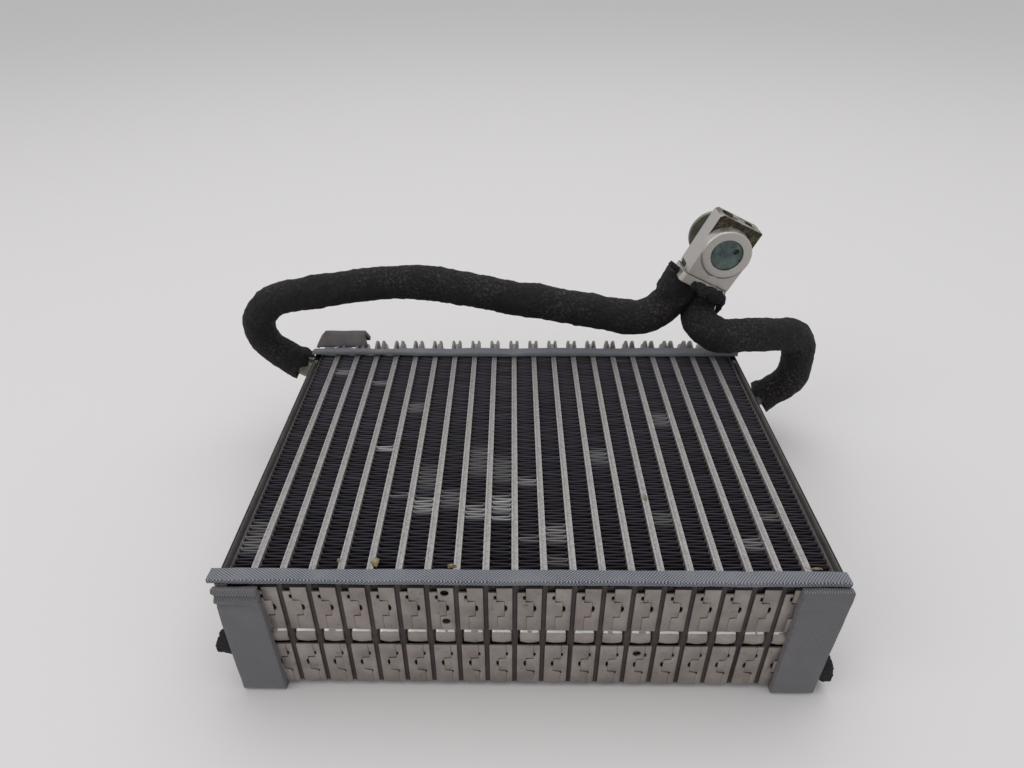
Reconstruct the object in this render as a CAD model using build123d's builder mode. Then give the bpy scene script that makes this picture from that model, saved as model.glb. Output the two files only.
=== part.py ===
from build123d import *
import math
import os

os.makedirs("parts", exist_ok=True)

# Plate-type evaporator of a vehicle air conditioner, lying flat on its air face, in millimetres.
# X runs across the tubes, Y from the flange end to the tank end, Z up from the surface it rests on.

# Core
tube_count = 20
tube_pitch = 11.5
tube_thick = 2.7
core_thick = 61.6
plate_length = 179.0
front_y = -100.8
foam_under = 2.7
footprint_middle = 4.1

# Flanges that close the front end of every gap between two tubes
flange_thick = 0.8
end_strip = 2.0
seam_gap = 0.3
seam_near = 0.28
seam_far = 0.75
seam_high = 0.35
seam_low = 0.68
window_top = 26.6
window_low = 36.6
notch_deep = 3.0
seam_notch_wide = 1.2
seam_notch_high = 1.5
seam_notch_down = 5.2
tongue_slot_wide = 0.9
tongue_slot_high = 3.2
spacer_r = 4.4
spacer_setback = 6.4
spacer_room = 0.6

# Locating holes in single flanges: tube number, then distance from the tube and height above the surface
locating_hole_r = 1.7
locating_holes = {8: ((-4.5, 59.4), (-4.5, 42.7)), 14: ((4.7, 23.1),)}

# Tanks, made of cups drawn into the tube plates, and the plate tips above them
tank_past_plate = 8.0
tank_spacing = 24.6
tank_wide = 25.0
tank_high = 20.0
tank_corner = 7.0
tank_rim = 1.8
cup_taper = 14.0
tip_thick = 1.1
tip_spread = 1.95
tip_length = 9.5
tip_lead = 4.8
tip_depth = 14.0

# Corrugated fins
fin_wall_count = 48
fin_sheet = 0.5
fin_recess = 1.2
fin_short = 9.4
fin_side_gap = 0.06

# Side plates
side_wide = 3.7
side_wall = 0.9
side_web = 2.0
side_flange_reach = 1.4

# Foam strips and pads
strip_thick = 2.5
front_strip_deep = 6.0
front_strip_lip = 0.7
rear_strip_deep = 10.2
strip_past = 0.9
pad_thick = 3.0
pad_wrap = 14.0
pad_round = 2.4
left_pad_wide = 18.6
right_pad_wide = 19.5
right_pad_past = 1.3
pad_top_gap = 0.3
block_past = 0.5
block_long = 30.5
block_past_plate = 1.2
block_deep = 13.6
block_high = 8.4
block_wall = 3.2
block_open = 22.0
torn_left_thick = 5.2
torn_right_thick = 4.2
torn_taper = 12.0
torn_left = ((0.5, 11), (1.5, 23), (5, 26), (9, 19), (6, 12))
torn_right = ((0.5, 4), (1, 13), (6, 16), (10, 9), (7, 3.4))

# Pipes and their foam sleeves
suction_r = 6.35
liquid_r = 4.75
pipe_wall = 1.1
pipe_fit = 0.05
collar_wall = 1.3
collar_long = 5.4
pipe_seat = 0.6
sleeve_r = 9.6
sleeve_fit = 0.1
sleeve_split = 0.15
sleeve_gap = 0.3
suction_bare = 4.5
liquid_bare = 5.0

# Pipe routes: how far past the side plate, past the plates' rear edge and above the core each point lies
suction_collar_run = 10.0
suction_left_points = ((43.4, 5, 9), (21.4, 2, 32), (-54.6, 1, 45.5))
suction_right_points = ((-52.6, 2, 18),)
suction_drop = 19.5
suction_bends = (10, 20, 22, 130, 20, 16)
liquid_collar_run = 22.0
liquid_right_points = ((43.4, 6, -26), (38.9, 1, 10), (11.4, -10, 15), (-24.6, -18, 18))
liquid_drop = 17.5
liquid_bends = (12, 18, 16, 50, 13, 11)

# Expansion valve: a block that leans over, with its round boss towards the front
valve_inside = 14.8
valve_before_rear = 7.8
valve_above_top = 62.1
valve_lean = 26.0
block_wide = 26.0
block_below = 17.8
block_above = 16.9
block_back = 20.0
slab_setback = 6.4
foot_setback = 1.0
foot_top = -1.0
boss_r = 13.5
boss_chamfer = 0.8
recess_r = 8.6
recess_deep = 2.6
plug_thick = 1.4
plug_r = 8.4
plug_hole_r = 1.5
plug_hole_off = 3.64
block_chamfer = 1.6
neck_r = 8.0
neck_long = 5.6
head_r = 14.3
head_rim = 2.4
head_dome = 2.8
head_hub_r = 9.0
head_round = 2.2
port_depth_in = 13.5
suction_port_u = -5.8
liquid_port_u = 7.0
suction_bore_r = 5.0
liquid_bore_r = 3.4
liquid_bore_deep = 12.0
pipe_insert = 8.0
seal_r = 0.75
seal_seat = 1.9
plate_thick = 5.0
plate_left = 15.5
plate_right = 12.6
plate_front = -1.0
plate_back = 17.4
plate_corner = 2.5
screw_u = 1.5
screw_in = 2.4
screw_r = 2.0
screw_head_r = 3.5
screw_head_high = 2.8
screw_depth = 8.0
screw_clear = 0.4
screw_end_gap = 1.0

# Worked out from the sizes above
core_low = foam_under
core_top = core_low + core_thick
core_mid = (core_low + core_top) / 2
half_gap = (tube_pitch - tube_thick) / 2
cell_wide = tube_pitch - end_strip
side_x = (tube_count + 1) / 2 * tube_pitch
side_in = side_x - side_wide / 2
side_out = side_x + side_wide / 2
rear_y = front_y + plate_length
tank_y = rear_y + tank_past_plate
tank_levels = (core_mid - tank_spacing / 2, core_mid + tank_spacing / 2)
spacer_y = front_y + spacer_setback
spacer_z = core_top - (window_top + window_low) / 2
strip_half = side_out + strip_past


def keep(solid, name):
    """Writes a piece, with the middle of the whole part's footprint at the origin."""
    placed = solid.moved(Location((-footprint_middle, 0, 0)))
    placed.label = name
    export_step(placed, f"parts/{name}.step")


def tube_x(index):
    return (index - (tube_count - 1) / 2) * tube_pitch


def past_side(side, out, back, up):
    """A point given by its distance past a side plate, past the plates' rear edge and above the core."""
    return Vector(side * (side_out + out), rear_y + back, core_top + up)


def tab_points(side, row_top, row_low, outer, middle, top_cut):
    """Outline of one jigsaw flange, in X and Z, from the tube towards its neighbour."""
    lip = seam_gap / 2 if middle > outer else -seam_gap / 2
    height = row_top - row_low
    step_high = row_top - seam_high * height - lip
    step_low = row_top - seam_low * height + lip
    near = side * end_strip / 2
    short = near + side * (outer - seam_gap / 2)
    long = near + side * (middle - seam_gap / 2)
    return [
        (near, row_top - top_cut),
        (short, row_top - top_cut),
        (short, step_high),
        (long, step_high),
        (long, step_low),
        (short, step_low),
        (short, row_low),
        (near, row_low),
    ]


def tab_sketch(side):
    """Both rows of flanges on one side of a tube: the tongue changes sides between the rows."""
    rows = (
        (core_top, core_top - window_top, seam_near, seam_far, notch_deep),
        (core_top - window_low, core_low, seam_far, seam_near, 0.0),
    )
    with BuildSketch(Plane.XZ.offset(-front_y - flange_thick)) as tabs:
        for row_top, row_low, outer, middle, cut in rows:
            if side < 0:
                outer, middle, cut = 1 - outer, 1 - middle, 0.0
            points = tab_points(side, row_top, row_low, outer * cell_wide, middle * cell_wide, cut)
            with BuildLine():
                Polyline(*points, close=True)
            make_face()
            seam_x = side * (end_strip / 2 + outer * cell_wide)
            if outer < middle:
                with Locations((seam_x, row_top - seam_notch_down)):
                    Rectangle(seam_notch_wide, seam_notch_high, mode=Mode.SUBTRACT)
            else:
                tongue_x = side * (end_strip / 2 + middle * cell_wide)
                slot_z = row_top - seam_high * (row_top - row_low) - tongue_slot_high / 2
                with Locations((tongue_x - side * tongue_slot_wide / 2, slot_z)):
                    Rectangle(tongue_slot_wide, tongue_slot_high, mode=Mode.SUBTRACT)
    return tabs.sketch


# Tube: two plates brazed together, with flanges in front, cups and tips behind
with BuildPart() as tube:
    with BuildSketch(Plane.YZ):
        with Locations((front_y + (flange_thick + plate_length) / 2, core_mid)):
            Rectangle(plate_length - flange_thick, core_thick)
        with Locations(*[(tank_y, level) for level in tank_levels]):
            RectangleRounded(tank_wide + 2 * tank_rim, tank_high + 2 * tank_rim, tank_corner)
    extrude(amount=tube_thick / 2, both=True)
    for direction in (-1, 1):
        with BuildSketch(Plane.YZ.offset(direction * tube_thick / 2)):
            with Locations(*[(tank_y, level) for level in tank_levels]):
                RectangleRounded(tank_wide, tank_high, tank_corner)
        extrude(amount=direction * half_gap, taper=cup_taper)
        extrude(tab_sketch(direction), amount=flange_thick)
        with BuildSketch(Plane.YZ.offset(direction * tip_spread)):
            with BuildLine():
                tip_start = (rear_y - tip_lead, core_top - strip_thick)
                tip_root = (rear_y + tip_length, core_top - tip_length)
                tip_turn = tip_length * math.sqrt(0.5)
                tip_crown = (rear_y + tip_turn, core_top - tip_length + tip_turn)
                Line(tip_start, (rear_y, core_top))
                ThreePointArc((rear_y, core_top), tip_crown, tip_root)
                Polyline(
                    tip_root,
                    (rear_y + tip_length, core_top - tip_depth),
                    (rear_y - tip_lead, core_top - tip_depth),
                    tip_start,
                )
            make_face()
        extrude(amount=tip_thick / 2, both=True)
    with Locations((0, spacer_y, spacer_z)):
        Cylinder(spacer_r, tube_pitch, rotation=(0, 90, 0))
for index in range(tube_count):
    number = index + 1
    placed_tube = tube.part.moved(Location((tube_x(index), 0, 0)))
    for out, up in locating_holes.get(number, ()):
        hole_at = Location((tube_x(index) + out, front_y + flange_thick / 2, up), (90, 0, 0))
        placed_tube = placed_tube - hole_at * Cylinder(locating_hole_r, 2 * flange_thick)
    keep(placed_tube, f"tube_{number:02d}")

# Fins: one folded sheet in each gap, its folds resting against the tubes on both sides
fin_start = front_y + flange_thick + fin_side_gap
fin_pitch = (rear_y - fin_short - fin_start) / fin_wall_count
for index in range(tube_count + 1):
    left = tube_x(index - 1) + tube_thick / 2 if index > 0 else -side_in
    right = tube_x(index) - tube_thick / 2 if index < tube_count else side_in
    near_side = []
    far_side = []
    for k in range(fin_wall_count + 1):
        fold_y = fin_start + k * fin_pitch
        if k % 2:
            fold_x = right - fin_side_gap
            near_side.append((fold_x, fold_y))
            far_side.append((fold_x - fin_sheet, fold_y))
        else:
            fold_x = left + fin_side_gap
            near_side.append((fold_x + fin_sheet, fold_y))
            far_side.append((fold_x, fold_y))
    with BuildPart() as fin:
        with BuildSketch(Plane.XY.offset(core_low + fin_recess)):
            with BuildLine():
                Polyline(*near_side, *reversed(far_side), close=True)
            make_face()
        extrude(amount=core_thick - 2 * fin_recess)
        room = spacer_r + spacer_room
        with Locations(((left + right) / 2, front_y + (spacer_setback + room) / 2, spacer_z)):
            Box(right - left, spacer_setback + room, 2 * room, mode=Mode.SUBTRACT)
    keep(fin.part, f"fin_{index + 1:02d}")

# Side plates: a channel section each, with half cups that close the tanks and a pipe collar
for name, side, pipe_r, level in (
    ("left", -1, suction_r, tank_levels[1]),
    ("right", 1, liquid_r, tank_levels[0]),
):
    with BuildPart() as side_plate:
        with BuildSketch(Plane.YZ.offset(side * side_x)):
            with Locations((front_y + plate_length / 2, core_mid)):
                Rectangle(plate_length, core_thick)
            with Locations(*[(tank_y, z) for z in tank_levels]):
                RectangleRounded(tank_wide + 2 * tank_rim, tank_high + 2 * tank_rim, tank_corner)
        extrude(amount=side_wide / 2, both=True)
        channel_long = plate_length - tank_wide / 2 - 2 * side_wall
        channel_deep = (core_thick - side_web) / 2
        for z in (core_low + channel_deep / 2, core_top - channel_deep / 2):
            with Locations((side * side_x, front_y + side_wall + channel_long / 2, z)):
                Box(side_wide - 2 * side_wall, channel_long, channel_deep, mode=Mode.SUBTRACT)
        with BuildSketch(Plane.YZ.offset(side * side_in)):
            with Locations(*[(tank_y, z) for z in tank_levels]):
                RectangleRounded(tank_wide, tank_high, tank_corner)
        cup_reach = side_in - (tube_x(tube_count - 1) + tube_pitch / 2)
        extrude(amount=-side * cup_reach, taper=cup_taper)
        with BuildSketch(Plane.XZ.offset(-front_y - flange_thick)):
            with Locations((side * (side_in - side_flange_reach / 2), core_mid)):
                Rectangle(side_flange_reach, core_thick)
        extrude(amount=flange_thick)
        with BuildSketch(Plane.YZ.offset(side * side_out)):
            with Locations((tank_y, level)):
                Circle(pipe_r + pipe_fit + collar_wall)
        extrude(amount=side * collar_long)
        with BuildSketch(Plane.YZ.offset(side * side_out)):
            with Locations((tank_y, level)):
                Circle(pipe_r + pipe_fit)
        extrude(amount=side * collar_long, mode=Mode.SUBTRACT)
    keep(side_plate.part, f"side_plate_{name}")

# Foam strips across the top and under the rear edge
strips = (
    ("front_top_strip", -front_strip_lip, front_strip_deep, core_top, strip_thick),
    ("rear_top_strip", plate_length - rear_strip_deep, plate_length, core_top, strip_thick),
    ("rear_bottom_strip", plate_length - rear_strip_deep, plate_length, 0.0, foam_under),
)
for name, start, end, low, thick in strips:
    with BuildPart() as strip:
        with BuildSketch(Plane.XY.offset(low)):
            with Locations((0, front_y + (start + end) / 2)):
                Rectangle(2 * strip_half, end - start)
        extrude(amount=thick)
    keep(strip.part, name)

# End pads: foam sheet down the front corners and folded under the core
for name, x_from, x_to in (
    ("end_pad_left", -strip_half, left_pad_wide - strip_half),
    ("end_pad_right", strip_half + right_pad_past - right_pad_wide, strip_half + right_pad_past),
):
    with BuildPart() as pad:
        with BuildSketch(Plane.YZ.offset(x_from)):
            with BuildLine():
                Polyline(
                    (front_y, core_top - pad_top_gap),
                    (front_y - pad_thick, core_top - pad_top_gap),
                    (front_y - pad_thick, pad_round),
                )
                RadiusArc(
                    (front_y - pad_thick, pad_round), (front_y - pad_thick + pad_round, 0), -pad_round
                )
                Polyline(
                    (front_y - pad_thick + pad_round, 0),
                    (front_y + pad_wrap, 0),
                    (front_y + pad_wrap, core_low),
                    (front_y, core_low),
                    (front_y, core_top - pad_top_gap),
                )
            make_face()
        extrude(amount=x_to - x_from)
    keep(pad.part, name)

# Folded foam piece on the plate tips at the rear left, its fold open at the right
with BuildPart() as foam_block:
    block_y = rear_y + block_past_plate + block_deep / 2
    block_x = -strip_half - block_past
    with BuildSketch(Plane.YZ.offset(block_x)):
        with Locations((block_y, core_top)):
            Ellipse(block_deep / 2, block_high)
            with Locations((0, -block_high)):
                Rectangle(2 * block_deep, 2 * block_high, mode=Mode.SUBTRACT)
    extrude(amount=block_long)
    with BuildSketch(Plane.YZ.offset(block_x + block_long)):
        with Locations((block_y, core_top)):
            Ellipse(block_deep / 2 - block_wall, block_high - block_wall)
            with Locations((0, -block_high)):
                Rectangle(2 * block_deep, 2 * block_high, mode=Mode.SUBTRACT)
    extrude(amount=-block_open, mode=Mode.SUBTRACT)
keep(foam_block.part, "foam_block")

# Torn foam left on the outer faces of the side plates, low at the front corners
with BuildPart() as torn_foam:
    for side, outline, thick in (
        (-1, torn_left, torn_left_thick),
        (1, torn_right, torn_right_thick),
    ):
        with BuildSketch(Plane.YZ.offset(side * side_out)):
            with BuildLine():
                Polyline(*[(front_y + back, up) for back, up in outline], close=True)
            make_face()
        extrude(amount=side * thick, taper=torn_taper)
keep(torn_foam.part, "torn_foam")

# Valve axes: across its width, up its height, and back along the boss
lean = math.radians(valve_lean)
valve_across = Vector(math.cos(lean), 0, -math.sin(lean))
valve_up = Vector(math.sin(lean), 0, math.cos(lean))
valve_origin = past_side(1, -valve_inside, -valve_before_rear, valve_above_top)


def valve_point(across, up, back):
    return valve_origin + valve_across * across + valve_up * up + Vector(0, back, 0)


def valve_front(back):
    """Plane facing forwards, at a distance behind the boss's face."""
    return Plane(origin=valve_point(0, 0, back), x_dir=valve_across, z_dir=(0, -1, 0))


def valve_level(up):
    """Plane facing up the valve's height, with its Y towards the back."""
    return Plane(origin=valve_point(0, up, 0), x_dir=valve_across, z_dir=valve_up)


ports = ((suction_port_u, suction_r), (liquid_port_u, liquid_r))
block_height = block_above + block_below

with BuildPart() as valve_body:
    with BuildSketch(valve_front(block_back)):
        with Locations((0, (block_above - block_below) / 2)):
            Rectangle(block_wide, block_height)
    extrude(amount=block_back - slab_setback)
    top_edges = valve_body.edges().group_by(Axis(valve_origin, valve_up))[-1]
    chamfer(top_edges.sort_by(Axis.X)[0], block_chamfer)
    with BuildSketch(valve_front(slab_setback)):
        with Locations((0, (foot_top - block_below) / 2)):
            Rectangle(block_wide, foot_top + block_below)
    extrude(amount=slab_setback - foot_setback)
    with BuildSketch(valve_front(slab_setback)):
        Circle(boss_r)
    extrude(amount=slab_setback)
    chamfer(valve_body.edges().group_by(Axis.Y)[0], boss_chamfer)
    with BuildSketch(valve_front(0)):
        Circle(recess_r)
    extrude(amount=-recess_deep, mode=Mode.SUBTRACT)
    with BuildSketch(valve_front(block_back)):
        Circle(neck_r)
    extrude(amount=-neck_long)
    with BuildSketch(valve_level(block_above)):
        with Locations((suction_port_u, port_depth_in)):
            Circle(suction_bore_r)
    extrude(amount=-block_height, mode=Mode.SUBTRACT)
    with BuildSketch(valve_level(block_above)):
        with Locations((liquid_port_u, port_depth_in)):
            Circle(liquid_bore_r)
    extrude(amount=-liquid_bore_deep, mode=Mode.SUBTRACT)
    for across, pipe_r in ports:
        with BuildSketch(valve_level(-block_below)):
            with Locations((across, port_depth_in)):
                Circle(pipe_r + pipe_fit)
        extrude(amount=pipe_insert, mode=Mode.SUBTRACT)
        with BuildSketch(valve_level(-block_below)):
            with Locations((across, port_depth_in)):
                Circle(pipe_r + seal_seat)
        extrude(amount=seal_seat, mode=Mode.SUBTRACT)
    with BuildSketch(valve_level(-block_below)):
        with Locations((screw_u, screw_in)):
            Circle(screw_r + pipe_fit)
    extrude(amount=screw_depth, mode=Mode.SUBTRACT)
keep(valve_body.part, "valve_body")

# Staked disc in the boss, with its small hole
with BuildPart() as boss_plug:
    with BuildSketch(valve_front(recess_deep)):
        Circle(plug_r)
        with Locations((plug_hole_off, plug_hole_off)):
            Circle(plug_hole_r, mode=Mode.SUBTRACT)
    extrude(amount=plug_thick)
keep(boss_plug.part, "boss_plug")

# Power head: two pressed shells joined at a rim, screwed over the neck
head_front = block_back + neck_long
with BuildPart() as power_head:
    with BuildSketch(valve_front(head_front)):
        Circle(head_hub_r)
    extrude(amount=-2 * head_dome - head_rim)
    fillet(power_head.edges().group_by(Axis.Y)[-1], head_round)
    with BuildSketch(valve_front(head_front + head_dome)):
        Circle(head_r)
    extrude(amount=-head_rim)
keep(power_head.part, "power_head")

# Plate that holds both pipes to the valve
with BuildPart() as pipe_flange:
    with BuildSketch(valve_level(-block_below)):
        with Locations(((plate_right - plate_left) / 2, (plate_front + plate_back) / 2)):
            RectangleRounded(plate_left + plate_right, plate_back - plate_front, plate_corner)
        for across, pipe_r in ports:
            with Locations((across, port_depth_in)):
                Circle(pipe_r + pipe_fit, mode=Mode.SUBTRACT)
        with Locations((screw_u, screw_in)):
            Circle(screw_r + pipe_fit, mode=Mode.SUBTRACT)
    extrude(amount=-plate_thick)
keep(pipe_flange.part, "pipe_flange")

with BuildPart() as flange_screw:
    with BuildSketch(valve_level(-block_below - plate_thick)):
        with Locations((screw_u, screw_in)):
            RegularPolygon(screw_head_r, 6)
    extrude(amount=-screw_head_high)
    with BuildSketch(valve_level(-block_below - plate_thick)):
        with Locations((screw_u, screw_in)):
            Circle(screw_r)
    extrude(amount=plate_thick + screw_depth - screw_end_gap)
keep(flange_screw.part, "flange_screw")

# Seals round the pipes, in their seats in the valve
with BuildPart(valve_level(seal_seat / 2 - block_below)) as port_seals:
    for across, pipe_r in ports:
        with Locations((across, port_depth_in)):
            Torus(pipe_r + seal_seat / 2, seal_r)
keep(port_seals.part, "port_seals")

# Pipe routes: straight runs joined by bends, from the tank's collar to the valve
suction_route = (
    Vector(-side_out - pipe_seat, tank_y, tank_levels[1]),
    Vector(-side_out - suction_collar_run, tank_y, tank_levels[1]),
    *[past_side(-1, *point) for point in suction_left_points],
    *[past_side(1, *point) for point in suction_right_points],
    valve_point(suction_port_u, -block_below - suction_drop, port_depth_in),
    valve_point(suction_port_u, pipe_insert - block_below - pipe_seat, port_depth_in),
)
liquid_route = (
    Vector(side_out + pipe_seat, tank_y, tank_levels[0]),
    Vector(side_out + liquid_collar_run, tank_y, tank_levels[0]),
    *[past_side(1, *point) for point in liquid_right_points],
    valve_point(liquid_port_u, -block_below - liquid_drop, port_depth_in),
    valve_point(liquid_port_u, pipe_insert - block_below - pipe_seat, port_depth_in),
)


def section_at(start, toward):
    """Plane across a route's first run."""
    return Plane(origin=start, z_dir=toward - start)


def along(start, toward, distance):
    return start + (toward - start).normalized() * distance


def make_pipe(route, bends, radius, name):
    with BuildPart() as pipe:
        with BuildLine():
            FilletPolyline(*route, radius=list(bends))
        with BuildSketch(section_at(route[0], route[1])):
            Circle(radius)
            Circle(radius - pipe_wall, mode=Mode.SUBTRACT)
        sweep()
    keep(pipe.part, name)


def make_sleeve(route, bends, pipe_r, name, start_off, end_off, side):
    """Foam tube over a pipe: the two sleeves press flat against each other at the valve."""
    first = along(route[1], route[2], start_off)
    last = along(route[-2], route[-1], end_off)
    path = (first, *route[2:-1], last)
    port_mid = (suction_port_u + suction_r + liquid_port_u - liquid_r) / 2
    with BuildPart() as sleeve:
        with BuildLine():
            FilletPolyline(*path, radius=list(bends[1:]))
        with BuildSketch(section_at(path[0], path[1])):
            Circle(sleeve_r)
            Circle(pipe_r + sleeve_fit, mode=Mode.SUBTRACT)
        sweep()
        cut_plane = Plane(origin=valve_point(port_mid + side * sleeve_split, 0, 0), z_dir=valve_across)
        split(bisect_by=cut_plane, keep=Keep.TOP if side > 0 else Keep.BOTTOM)
        with BuildSketch(valve_level(-block_below - plate_thick)):
            with Locations((screw_u, screw_in)):
                Circle(screw_head_r + screw_clear)
        extrude(amount=-screw_head_high - screw_clear, mode=Mode.SUBTRACT)
    keep(sleeve.part, name)


sleeve_stop = plate_thick + sleeve_gap
make_pipe(suction_route, suction_bends, suction_r, "suction_pipe")
make_pipe(liquid_route, liquid_bends, liquid_r, "liquid_pipe")
make_sleeve(
    suction_route, suction_bends, suction_r, "suction_sleeve",
    suction_bare, suction_drop - sleeve_stop, -1,
)
make_sleeve(
    liquid_route, liquid_bends, liquid_r, "liquid_sleeve",
    liquid_bare, liquid_drop - sleeve_stop, 1,
)
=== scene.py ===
import math

import bmesh
import bpy
from mathutils import Matrix, Vector, noise
from mathutils.kdtree import KDTree


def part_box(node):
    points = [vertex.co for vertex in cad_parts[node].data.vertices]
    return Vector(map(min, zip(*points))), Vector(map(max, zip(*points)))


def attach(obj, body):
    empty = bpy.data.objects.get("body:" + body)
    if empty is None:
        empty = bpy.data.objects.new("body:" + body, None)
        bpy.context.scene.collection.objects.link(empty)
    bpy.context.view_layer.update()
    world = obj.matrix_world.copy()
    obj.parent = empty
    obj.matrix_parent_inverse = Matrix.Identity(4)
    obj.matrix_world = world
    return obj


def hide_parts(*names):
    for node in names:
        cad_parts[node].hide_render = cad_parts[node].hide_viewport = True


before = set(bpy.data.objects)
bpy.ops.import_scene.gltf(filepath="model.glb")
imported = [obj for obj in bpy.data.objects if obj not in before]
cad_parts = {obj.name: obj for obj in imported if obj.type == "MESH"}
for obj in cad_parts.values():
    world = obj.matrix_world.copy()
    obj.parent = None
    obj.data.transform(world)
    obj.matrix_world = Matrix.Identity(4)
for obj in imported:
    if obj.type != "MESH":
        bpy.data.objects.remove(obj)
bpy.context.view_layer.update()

# A worn plate evaporator with foam edges, two foam-covered pipes and a block valve.
# Everything below is in millimetres, with X measured from the middle of the core.
metre = 1000.0
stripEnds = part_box("front_top_strip")
coreX = (stripEnds[0].x + stripEnds[1].x) / 2
toFrame = Matrix.Translation((coreX, 0, 0)) @ Matrix.Scale(1 / metre, 4)
fromFrame = toFrame.inverted()


def span(node):
    low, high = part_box(node)
    return fromFrame @ low, fromFrame @ high


core = {
    "tubes": 20,
    "pitch": 11.5,
    "tubeThick": 2.7,
    "frontY": span("tube_01")[0].y,
    "top": span("tube_01")[1].z,
    "rearY": span("rear_top_strip")[1].y,
}


def tubeX(index):
    return (index - (core["tubes"] - 1) / 2) * core["pitch"]


# Materials

def hexColour(code):  # sRGB hex to linear
    channels = [int(code[i:i + 2], 16) / 255 for i in (1, 3, 5)]
    linear = [c / 12.92 if c <= 0.04045 else ((c + 0.055) / 1.055) ** 2.4 for c in channels]
    return (*linear, 1.0)


# A setting is one of the node's own properties or a socket's value, and a (node, output) pair makes a link
def addNode(tree, kind, settings):
    node = tree.nodes.new("ShaderNode" + kind)
    for key, value in settings.items():
        if key == "stops":
            ramp = node.color_ramp
            while len(ramp.elements) < len(value):
                ramp.elements.new(0.5)
            for element, (position, colour) in zip(ramp.elements, value):
                element.position = position
                element.color = hexColour(colour)
        elif isinstance(value, tuple) and isinstance(value[0], bpy.types.Node):
            tree.links.new(value[0].outputs[value[1]], node.inputs[key])
        elif isinstance(key, str) and hasattr(node, key):
            setattr(node, key, value)
        else:
            node.inputs[key].default_value = value
    return node


def startMaterial(name):
    material = bpy.data.materials.new(name)
    material.use_nodes = True
    tree = material.node_tree
    tree.nodes.clear()
    return material, tree, (addNode(tree, "TexCoord", {}), "Object")


def finishMaterial(material, colour, bump, settings):
    links = {"Base Color": colour, "Normal": (bump, "Normal")}
    shader = addNode(material.node_tree, "BsdfPrincipled", {**settings, **links})
    addNode(material.node_tree, "OutputMaterial", {"Surface": (shader, "BSDF")})
    return material


def brazedSheet(name, light, dark, stain, roughness=0.5, shadowAndDirtUnderStrip=False):
    # Brazed aluminium sheet: a matt, slightly mottled grey from the oven, darker where water has stood
    material, tree, place = startMaterial(name)
    mottle = addNode(tree, "TexNoise", {"Scale": metre / 9.0, "Detail": 4.0, "Vector": place})
    base = addNode(tree, "ValToRGB", {"stops": ((0.3, dark), (0.7, light)), "Fac": (mottle, "Fac")})
    spots = addNode(tree, "TexNoise", {
        "Scale": metre / 3.0, "Detail": 5.0, "Roughness": 0.65, "Vector": place,
    })
    mask = addNode(tree, "MapRange", {"From Min": 0.6, "From Max": 0.78, "Value": (spots, "Fac")})
    colour = addNode(tree, "Mix", {
        "data_type": "RGBA", 0: (mask, "Result"), 6: (base, "Color"), 7: hexColour(stain),
    })
    if shadowAndDirtUnderStrip:  # a black line painted just under the front strip: painted shadow of the strip's gap, with some dirt
        split = addNode(tree, "SeparateXYZ", {"Vector": place})
        low, high = (core["top"] - 1.95) / metre, (core["top"] - 1.6) / metre
        line = addNode(tree, "MapRange", {"From Min": low, "From Max": high, "Value": (split, "Z")})
        black = hexColour("#0d0a0b")
        colour = addNode(tree, "Mix", {"data_type": "RGBA", 0: (line, "Result"), 6: (colour, 2), 7: black})
    fine = addNode(tree, "TexNoise", {"Scale": metre / 0.5, "Detail": 3.0, "Vector": place})
    bump = addNode(tree, "Bump", {"Distance": 0.05 / metre, "Height": (fine, "Fac")})
    return finishMaterial(material, (colour, 2), bump, {"Roughness": roughness, "Metallic": 0.55})


def barrelWithPaintedLight():
    # Drawn aluminium barrel with its light painted in: a painted highlight along its top, painted brown-dark
    # shade where it turns under
    material, tree, place = startMaterial("barrelWithPaintedLight")
    split = addNode(tree, "SeparateXYZ", {"Vector": place})
    moved = addNode(tree, "Mapping", {"Scale": (1, 1, 0.4), "Vector": place})
    smear = addNode(tree, "TexNoise", {
        "Scale": metre / 2.6, "Detail": 4.0, "Roughness": 0.6, "Vector": (moved, "Vector"),
    })
    nudge = addNode(tree, "MapRange", {
        "To Min": -1.4 / metre, "To Max": 1.4 / metre, "Value": (smear, "Fac"),
    })
    level = addNode(tree, "Math", {"operation": "ADD", 0: (split, "Z"), 1: (nudge, "Result")})
    low, high = (core["top"] - 35.8) / metre, (core["top"] - 26.8) / metre
    share = addNode(tree, "MapRange", {"From Min": low, "From Max": high, "Value": (level, "Value")})
    # painted light: painted shade under the barrel, rising to a painted highlight along its top
    shade = addNode(tree, "ValToRGB", {
        "stops": (
            (0.0, "#231e1d"), (0.3, "#453e3c"), (0.54, "#66605d"), (0.66, "#918c89"), (0.76, "#d2cfcc"),
            (1.0, "#e6e4e2"),
        ),
        "Fac": (share, "Result"),
    })
    bump = addNode(tree, "Bump", {"Distance": 0.1 / metre, "Height": (smear, "Fac")})
    return finishMaterial(material, (shade, "Color"), bump, {"Roughness": 0.3, "Metallic": 0.6})


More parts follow.
